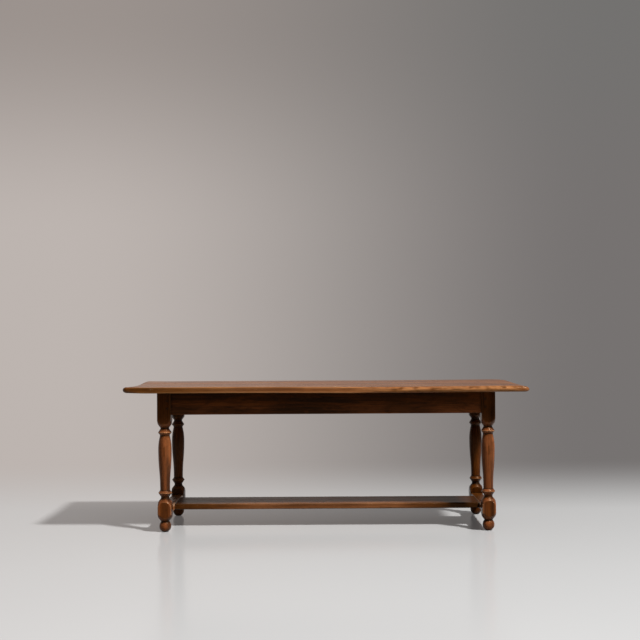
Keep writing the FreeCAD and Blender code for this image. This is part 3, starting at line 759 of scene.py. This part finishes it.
def ring_heights(node, low, high):
    """The heights of a leg's rings: where the turning changes, and steps between."""
    levels = np.array([round(vertex.co.z, RING_DIGITS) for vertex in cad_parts[node].data.vertices])
    found, counts = np.unique(levels, return_counts=True)
    marks = [low]
    for level in found[counts >= RING_VERTICES]:
        if level > marks[-1] + RING_GAP:
            marks.append(level)
    marks[-1] = high
    heights = [low]
    for start, stop in zip(marks, marks[1:]):
        count = math.ceil((stop - start) / RING_STEP)
        heights.extend(np.linspace(start, stop, count + 1)[1:])
    return np.array(heights)


def ring_turns():
    """The angles of a ring's points, closer together toward the arrises of a square block."""
    octant = [math.atan(share) for share in SIDE_SHARES]
    quarter = octant + [math.pi / 2 - angle for angle in octant[-2:0:-1]]
    return [angle + turn * math.pi / 2 for turn in range(4) for angle in quarter]


def ring_radii(node, centre, reach, level, turns):
    """A leg's radii at a level. Where a socket or a peg hole opens, a like side is taken."""
    radii = []
    for turn in turns:
        way = Vector((math.cos(turn), math.sin(turn), 0))
        start = Vector((centre.x, centre.y, level)) + way * reach
        radii.append(reach - trees[node].ray_cast(start, -way)[3])
    quarter = np.array(radii).reshape(4, -1).max(axis=0)
    quarter[1:] = np.maximum(quarter[1:], quarter[1:][::-1])
    return np.tile(quarter, 4)


def ring_faces(count, around):
    """The faces of a stack of rings, closed at its foot and its head."""
    last = (count - 1) * around
    faces = []
    for start in range(0, last, around):
        above = start + around
        for column in range(around):
            after = (column + 1) % around
            faces.append((start + column, start + after, above + after, above + column))
    faces.append(tuple(range(around))[::-1])
    faces.append(tuple(range(last, last + around)))
    return faces


def leg_shade(points, heights, centre, reach):
    """How light a leg is: painted shade under the top, darker on the lower block's faces and in hollows."""
    around = len(points) // len(heights)
    offset = np.abs(points[:, :2] - np.array(centre[:2]))
    girth = np.linalg.norm(offset, axis=1).reshape(-1, around).mean(axis=1)
    weight = np.exp(-((heights[:, None] - heights) / HOLLOW_REACH) ** 2) * np.gradient(heights)
    hollow = np.clip(((weight @ girth) / weight.sum(axis=1) - girth) / HOLLOW_DEPTH, 0, 1)
    on_face = offset.max(axis=1) > reach / 2 - BLOCK_FACE_DEPTH
    inner = 1 - ease(offset.min(axis=1) / (reach / 2), *BLOCK_ARRIS_SHARES)
    # Painted shade under the top, where the top's shadow falls on the upper block
    upper = ease(points[:, 2], apron_foot - UPPER_SHADE_BELOW, apron_foot + UPPER_SHADE_ABOVE)
    shade = 1 - UPPER_SHADE_SHARE * upper
    shade = shade * (1 - BLOCK_SHADE_SHARE * on_face * inner * (1 - upper))
    return shade * (1 - HOLLOW_SHADE_SHARE * np.repeat(hollow, around))


def leg(node):
    """A turned leg on rings that follow its node."""
    look = looks[node]
    low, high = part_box(node)
    centre = (low + high) / 2
    reach = high.x - low.x
    turns = ring_turns()
    heights = ring_heights(node, low.z, high.z)
    points = []
    for height in heights:
        level = min(max(height, low.z + RAY_MARGIN), high.z - RAY_MARGIN)
        for radius, turn in zip(ring_radii(node, centre, reach, level, turns), turns):
            points.append((centre.x + radius * math.cos(turn), centre.y + radius * math.sin(turn), height))
    points = np.array(points)
    faces = ring_faces(len(heights), len(turns))
    shade = look.tint * leg_shade(points, heights, centre, reach)

    def roughen(places, normals):
        lump = ripple(places, LEG_LUMP_SIZE, look.seed, octaves=3)
        above_sole = ease(places[:, 2], 0, SOLE)
        return places - normals * (LEG_LUMP * (1 + lump) * above_sole)[:, None]

    return piece(node, points, faces, "Z", look.heart, shade, leg_oak, roughen)


# The table

PEG_ARRIS = 0.7 * MILLIMETRE
PEG_ARRIS_FACES = 2

for node in ("front_board", "front_inner_board", "rear_inner_board", "rear_board"):
    top_board(node)

for node in ("front_left_leg", "front_right_leg", "rear_left_leg", "rear_right_leg"):
    leg(node)

left_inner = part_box("front_left_leg")[1]
right_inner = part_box("rear_right_leg")[0]
between_ends = (left_inner.x, right_inner.x)
between_sides = (left_inner.y, right_inner.y)
between_aprons = (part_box("front_apron")[1].y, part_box("rear_apron")[0].y)
between_stretchers = (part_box("left_stretcher")[1].x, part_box("right_stretcher")[0].x)

apron_wood = (apron_oak, "apron_oak")
for node in ("front_apron", "rear_apron"):
    rail(node, "X", between_ends, APRON_ARRIS, *apron_wood, upper_share=APRON_SHADE_SHARE)
for node in ("left_apron", "right_apron"):
    rail(node, "Y", between_sides, APRON_ARRIS, *apron_wood, upper_share=APRON_SHADE_SHARE)
for node in ("left_bearer", "right_bearer"):
    rail(node, "Y", between_aprons, BEARER_ARRIS, *apron_wood)

stretcher_wood = (stretcher_oak, "stretcher_oak")
rail("left_stretcher", "Y", between_sides, STRETCHER_ARRIS, *stretcher_wood, rub_and_highlight=LEFT_ARRIS_WEAR_AND_HIGHLIGHT)
rail("right_stretcher", "Y", between_sides, STRETCHER_ARRIS, *stretcher_wood)
rail("centre_stretcher", "X", between_stretchers, CENTRE_ARRIS, *stretcher_wood, end_shares=CENTRE_END_SHARES)

for node in ("front_tongue", "middle_tongue", "rear_tongue"):
    rail(node, "X", None, JOINT_EASE, top_oak, "top_oak")

for node in ("apron_pegs", "stretcher_pegs", "centre_stretcher_pegs", "top_pegs"):
    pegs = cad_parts[node]
    pegs.data.materials.clear()
    pegs.data.materials.append(top_peg_oak if node == "top_pegs" else peg_oak)
    soften = pegs.modifiers.new("soften", "BEVEL")
    soften.width = PEG_ARRIS
    soften.segments = PEG_ARRIS_FACES
    soften.limit_method = "ANGLE"


# Stage

# Camera, as fitted to the photograph
PHOTO_PIXELS = 640
FOCAL_PIXELS = 1130.85
SENSOR_WIDTH_MM = 36
CAMERA_PLACE = Vector((0.02789, -6.19710, 1.05641))
CAMERA_YAW = 0.0094
CAMERA_PITCH = 0.00823
CAMERA_ROLL = -0.00692
# Light
KEY_PLACE = Vector((6.3, -5.3, 11.0))
KEY_SIZE = 1.1
KEY_WATTS = 2300
KEY_COLOUR = (1.0, 0.975, 0.94)
SKY_COLOUR = (0.97, 0.98, 1.0, 1)
SKY_STRENGTH_LEFT = 0.1
SKY_STRENGTH_RIGHT = 0.34
# The dark end of the studio, behind the camera, as reflections show it: its light, and its reach on the floor
DARK_END_SHARE = 0.12
DARK_END_SPAN = (-0.3, 0.3)
DARK_FLOOR_SPAN = (-4.0, -1.2)
# Backdrop tones, left and right, at the floor and above, in a painted fall of light: paler to the left
LEFT_LOW = (0.508, 0.459, 0.433, 1)
RIGHT_LOW = (0.181, 0.169, 0.165, 1)
LEFT_HIGH = (0.33, 0.29, 0.27, 1)
RIGHT_HIGH = (0.172, 0.167, 0.162, 1)
BACKDROP_TURN = 0.24
BACKDROP_RISE = (0.08, 0.27)
BACKDROP_DEPTH = 6.2
# Floor, and how far back and out it fades into the backdrop; even near the table a share of it glows
# with the backdrop's grey, a painted light that lifts the table's shadow on it
FLOOR_COLOUR = (0.7, 0.712, 0.728, 1)
FLOOR_BOUNCE_COLOUR = (0.17, 0.163, 0.156, 1)
FLOOR_ROUGHNESS = 0.16
FLOOR_SIZE = 60
FLOOR_BLEND_SHARE = 0.15
FLOOR_FADE_BACK = (-0.4, 3.0)
FLOOR_FADE_ROUND = (2.6, 8.0)


def backdrop(finish, turn, rise):
    """Backdrop grey in a painted fall of light: paler to the left, darker to the right and overhead."""
    low = finish.mix(turn, LEFT_LOW, RIGHT_LOW)
    high = finish.mix(turn, LEFT_HIGH, RIGHT_HIGH)
    return finish.mix(rise, low, high)


def seen_ray(finish):
    """1 for what the camera sees, directly or in a reflection."""
    path = finish.node("ShaderNodeLightPath")
    return finish.math("MAXIMUM", path.outputs["Is Camera Ray"], path.outputs["Is Glossy Ray"])


def lit_end(finish, depth, span):
    """1 for what the camera sees directly; in a reflection it falls toward the dark end of the studio."""
    straight = finish.node("ShaderNodeLightPath").outputs["Is Camera Ray"]
    return finish.math("MAXIMUM", straight, finish.rise(depth, *span, DARK_END_SHARE, 1.0))


def floor_material():
    """A pale floor that melts into the backdrop, with a share of its painted glow all over."""
    material, finish = new_material("floor")
    place = finish.node("ShaderNodeTexCoord").outputs["Object"]
    split = finish.node("ShaderNodeSeparateXYZ")
    finish.feed(split.inputs[0], place)
    x = split.outputs["X"]
    y = split.outputs["Y"]
    depth = finish.math("ADD", finish.math("ABSOLUTE", y), BACKDROP_DEPTH)
    turn = finish.rise(finish.math("DIVIDE", x, depth), -BACKDROP_TURN, BACKDROP_TURN)
    glow = finish.node("ShaderNodeEmission")
    finish.feed(glow.inputs["Color"], backdrop(finish, turn, 0))
    finish.feed(glow.inputs["Strength"], lit_end(finish, y, DARK_FLOOR_SPAN))
    surface = finish.node("ShaderNodeBsdfPrincipled")
    seen = seen_ray(finish)
    finish.feed(surface.inputs["Base Color"], finish.mix(seen, FLOOR_BOUNCE_COLOUR, FLOOR_COLOUR))
    surface.inputs["Roughness"].default_value = FLOOR_ROUGHNESS
    distance = finish.vector("LENGTH", place, output="Value")
    far = finish.math("MAXIMUM", finish.rise(y, *FLOOR_FADE_BACK), finish.rise(distance, *FLOOR_FADE_ROUND))
    far = finish.math("MAXIMUM", far, FLOOR_BLEND_SHARE)
    finish.show(finish.blend(finish.math("MULTIPLY", far, seen), surface, glow))
    return material


def floor():
    """The floor under the table."""
    half = FLOOR_SIZE / 2
    corners = [(-half, -half, 0), (half, -half, 0), (half, half, 0), (-half, half, 0)]
    mesh = bpy.data.meshes.new("floor")
    mesh.from_pydata(corners, [], [(0, 1, 2, 3)])
    mesh.materials.append(floor_material())
    item = bpy.data.objects.new("floor", mesh)
    bpy.context.scene.collection.objects.link(item)


def sky():
    """A light from all round, stronger from the right, behind which the backdrop shows."""
    world = bpy.data.worlds.new("studio")
    bpy.context.scene.world = world
    world.use_nodes = True
    finish = Finish(world.node_tree)
    split = finish.node("ShaderNodeSeparateXYZ")
    finish.feed(split.inputs[0], finish.node("ShaderNodeTexCoord").outputs["Generated"])
    x, y, z = split.outputs
    turn = finish.rise(x, -BACKDROP_TURN, BACKDROP_TURN)
    shown = finish.node("ShaderNodeBackground")
    finish.feed(shown.inputs["Color"], backdrop(finish, turn, finish.rise(z, *BACKDROP_RISE)))
    finish.feed(shown.inputs["Strength"], lit_end(finish, y, DARK_END_SPAN))
    light = finish.node("ShaderNodeBackground")
    light.inputs["Color"].default_value = SKY_COLOUR
    finish.feed(light.inputs["Strength"], finish.rise(x, -1, 1, SKY_STRENGTH_LEFT, SKY_STRENGTH_RIGHT))
    finish.show(finish.blend(seen_ray(finish), light, shown), "ShaderNodeOutputWorld")


def key_light():
    """A soft lamp high on the right, in front."""
    lamp = bpy.data.lights.new("key", "AREA")
    lamp.shape = "DISK"
    lamp.size = KEY_SIZE
    lamp.energy = KEY_WATTS
    lamp.color = KEY_COLOUR
    item = bpy.data.objects.new("key", lamp)
    item.location = KEY_PLACE
    item.rotation_mode = "QUATERNION"
    item.rotation_quaternion = (Vector((0, 0, cad_high.z / 2)) - KEY_PLACE).to_track_quat("-Z", "Y")
    bpy.context.scene.collection.objects.link(item)


def camera():
    """The camera at the photograph's viewpoint."""
    level = Vector((-math.sin(CAMERA_YAW), math.cos(CAMERA_YAW), 0))
    right = Vector((math.cos(CAMERA_YAW), math.sin(CAMERA_YAW), 0))
    up = Vector((0, 0, 1))
    forward = level * math.cos(CAMERA_PITCH) + up * math.sin(CAMERA_PITCH)
    upward = up * math.cos(CAMERA_PITCH) - level * math.sin(CAMERA_PITCH)
    side = right * math.cos(CAMERA_ROLL) + upward * math.sin(CAMERA_ROLL)
    top = upward * math.cos(CAMERA_ROLL) - right * math.sin(CAMERA_ROLL)
    lens = bpy.data.cameras.new("camera")
    lens.sensor_width = SENSOR_WIDTH_MM
    lens.lens = FOCAL_PIXELS * SENSOR_WIDTH_MM / PHOTO_PIXELS
    item = bpy.data.objects.new("camera", lens)
    turn = Matrix((side, top, -forward)).transposed()
    item.matrix_world = Matrix.Translation(CAMERA_PLACE) @ turn.to_4x4()
    bpy.context.scene.collection.objects.link(item)
    bpy.context.scene.camera = item


floor()
sky()
key_light()
camera()
bpy.context.scene.view_settings.view_transform = "Standard"
